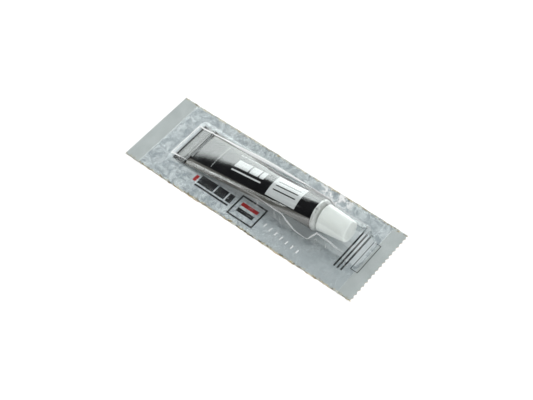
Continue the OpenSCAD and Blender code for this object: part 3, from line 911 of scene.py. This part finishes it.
turned_place = put(tree, "ShaderNodeMapping", {"vector_type": "TEXTURE"}, Vector=sheet_place,
                   Location=STROKES_PLACE, Rotation=STROKES_TURN).outputs["Vector"]
strokes = times(tree, row_of(tree, turned_place, (0, 0), STROKE_STEP, STROKE_SIZE, STROKES), STROKE_PAINTED_GLINT)
kink_lines = spread(tree, sums(tree, "ABSOLUTE", sums(tree, "SUBTRACT", ripples, 0.5)), 0.012, 0.0)
kinks = times(tree, kink_lines, stuck, spread(tree, slack, 0.5, 0.62), KINK_PAINTED_GLINT)
from_bunch = vectors(tree, "DIVIDE", vectors(tree, "SUBTRACT", sheet_place, BUNCH_PLACE), BUNCH_SIZE)
bunch_reach = vectors(tree, "LENGTH", from_bunch, result="Value")
bunching = times(tree, spread(tree, bunch_reach, 1.0, 0.4), spread(tree, ripples, 0.5, 0.58), BUNCH_PAINTED_GLINT)
painted_glints = times(tree, together(tree, [foot_line, far_wall, strokes, bunching, kinks]), flange)
haze_and_painted_glint = put(tree, "ShaderNodeBsdfDiffuse", Color=PAINTED_GLINT_COLOUR)
film_with_painted_glints = put(tree, "ShaderNodeMixShader", in_0=painted_glints, in_1=skin.outputs[0], in_2=haze_and_painted_glint.outputs[0])
show(tree, film_with_painted_glints, output)
dress(film, clear_film)
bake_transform(film)
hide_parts("clear_film", "film_tail_strip")


# Studio: a white table, a bright screen that stands behind the pack and shows only in its gloss,
# a small soft window behind the cap, an even light from above and a fill from the camera's side.
TABLE_SIZE = 6
TABLE_HEIGHT = -0.00005
TABLE_COLOUR = (0.4, 0.4, 0.4, 1)
TABLE_GLOW = 0.66
WHITE = (1, 1, 1, 1)
AMBIENT = (0.53, 0.53, 0.53, 1)
DARK_ROOM = (0.015, 0.015, 0.016, 1)
SCREEN_LIGHT = (3.05, 3.2, 3.15, 1)
SCREEN_SIDE = (-0.77, 0.64, 0)
SCREEN_SIDE_EDGE = (0.2, 0.5)
SCREEN_TOP_EDGE = (0.665, 0.565)

# each lamp: the direction it stands in, its distance, its size and its power
SIDE_WINDOW = ((0.7, 0.45, 0.55), 0.7, (0.35, 0.3), 0.5)
OVERHEAD = ((-0.35, 0.45, 0.82), 0.9, (0.7, 0.7), 5.4)
FILL = ((0.8, -0.55, 0.22), 0.9, (0.8, 0.6), 5.5)

CAMERA_TARGET = Vector((0.002863, -0.001595, 0.0))
CAMERA_AZIMUTH = math.radians(38.543)
CAMERA_HEIGHT = math.radians(53.616)
CAMERA_DISTANCE = 0.513517
LENS = 85
SENSOR_WIDTH = 36

clear_selection()
bpy.ops.mesh.primitive_plane_add(size=TABLE_SIZE, location=(0, 0, TABLE_HEIGHT))
table = bpy.context.object
table.name = "table"
white_table, tree, output = new_finish("white_table")
rays = put(tree, "ShaderNodeLightPath")
seen = together(tree, [rays.outputs["Is Camera Ray"], rays.outputs["Is Glossy Ray"],
                       rays.outputs["Is Transmission Ray"]])
matt = put(tree, "ShaderNodeBsdfDiffuse", Color=TABLE_COLOUR)
glow = put(tree, "ShaderNodeEmission", Color=WHITE, Strength=times(tree, seen, TABLE_GLOW))
surface = put(tree, "ShaderNodeAddShader", in_0=matt.outputs[0], in_1=glow.outputs[0])
show(tree, surface, output)
dress(table, white_table)

world = bpy.data.worlds.new("studio")
bpy.context.scene.world = world
world.use_nodes = True
tree = world.node_tree
tree.nodes.clear()
output = put(tree, "ShaderNodeOutputWorld")
rays = put(tree, "ShaderNodeLightPath")
direction = put(tree, "ShaderNodeTexCoord").outputs["Generated"]
upward = put(tree, "ShaderNodeSeparateXYZ", Vector=direction).outputs["Z"]
sideways = vectors(tree, "DOT_PRODUCT", direction, SCREEN_SIDE, "Value")
screen = times(tree, spread(tree, upward, *SCREEN_TOP_EDGE), spread(tree, sideways, *SCREEN_SIDE_EDGE))
mirrored = colour_mix(tree, screen, DARK_ROOM, SCREEN_LIGHT)
ambient = colour_mix(tree, rays.outputs["Is Glossy Ray"], AMBIENT, mirrored)
seen = together(tree, [rays.outputs["Is Camera Ray"], rays.outputs["Is Transmission Ray"]])
background = put(tree, "ShaderNodeBackground", Color=colour_mix(tree, seen, ambient, WHITE), Strength=1.0)
show(tree, background, output)


def soft_lamp(name, direction, distance, size, power):
    """An area lamp that looks at the middle of the pack from this direction."""
    lamp = bpy.data.lights.new(name, "AREA")
    lamp.shape = "RECTANGLE"
    lamp.size, lamp.size_y = size
    lamp.energy = power
    holder = bpy.data.objects.new(name, lamp)
    bpy.context.collection.objects.link(holder)
    aim = Vector(direction).normalized()
    holder.location = aim * distance
    holder.rotation_euler = aim.to_track_quat("Z", "Y").to_euler()
    return holder


soft_lamp("side_window", *SIDE_WINDOW)
overhead = soft_lamp("overhead", *OVERHEAD)
overhead.visible_glossy = False
fill = soft_lamp("fill", *FILL)
fill.visible_glossy = False

lens = bpy.data.cameras.new("camera")
lens.lens = LENS
lens.sensor_width = SENSOR_WIDTH
camera = bpy.data.objects.new("camera", lens)
bpy.context.collection.objects.link(camera)
level = math.cos(CAMERA_HEIGHT)
back = Vector((math.sin(CAMERA_AZIMUTH) * level, -math.cos(CAMERA_AZIMUTH) * level, math.sin(CAMERA_HEIGHT)))
camera.location = CAMERA_TARGET + back * CAMERA_DISTANCE
camera.rotation_euler = back.to_track_quat("Z", "Y").to_euler()
bpy.context.scene.camera = camera
bpy.context.scene.view_settings.view_transform = "Standard"
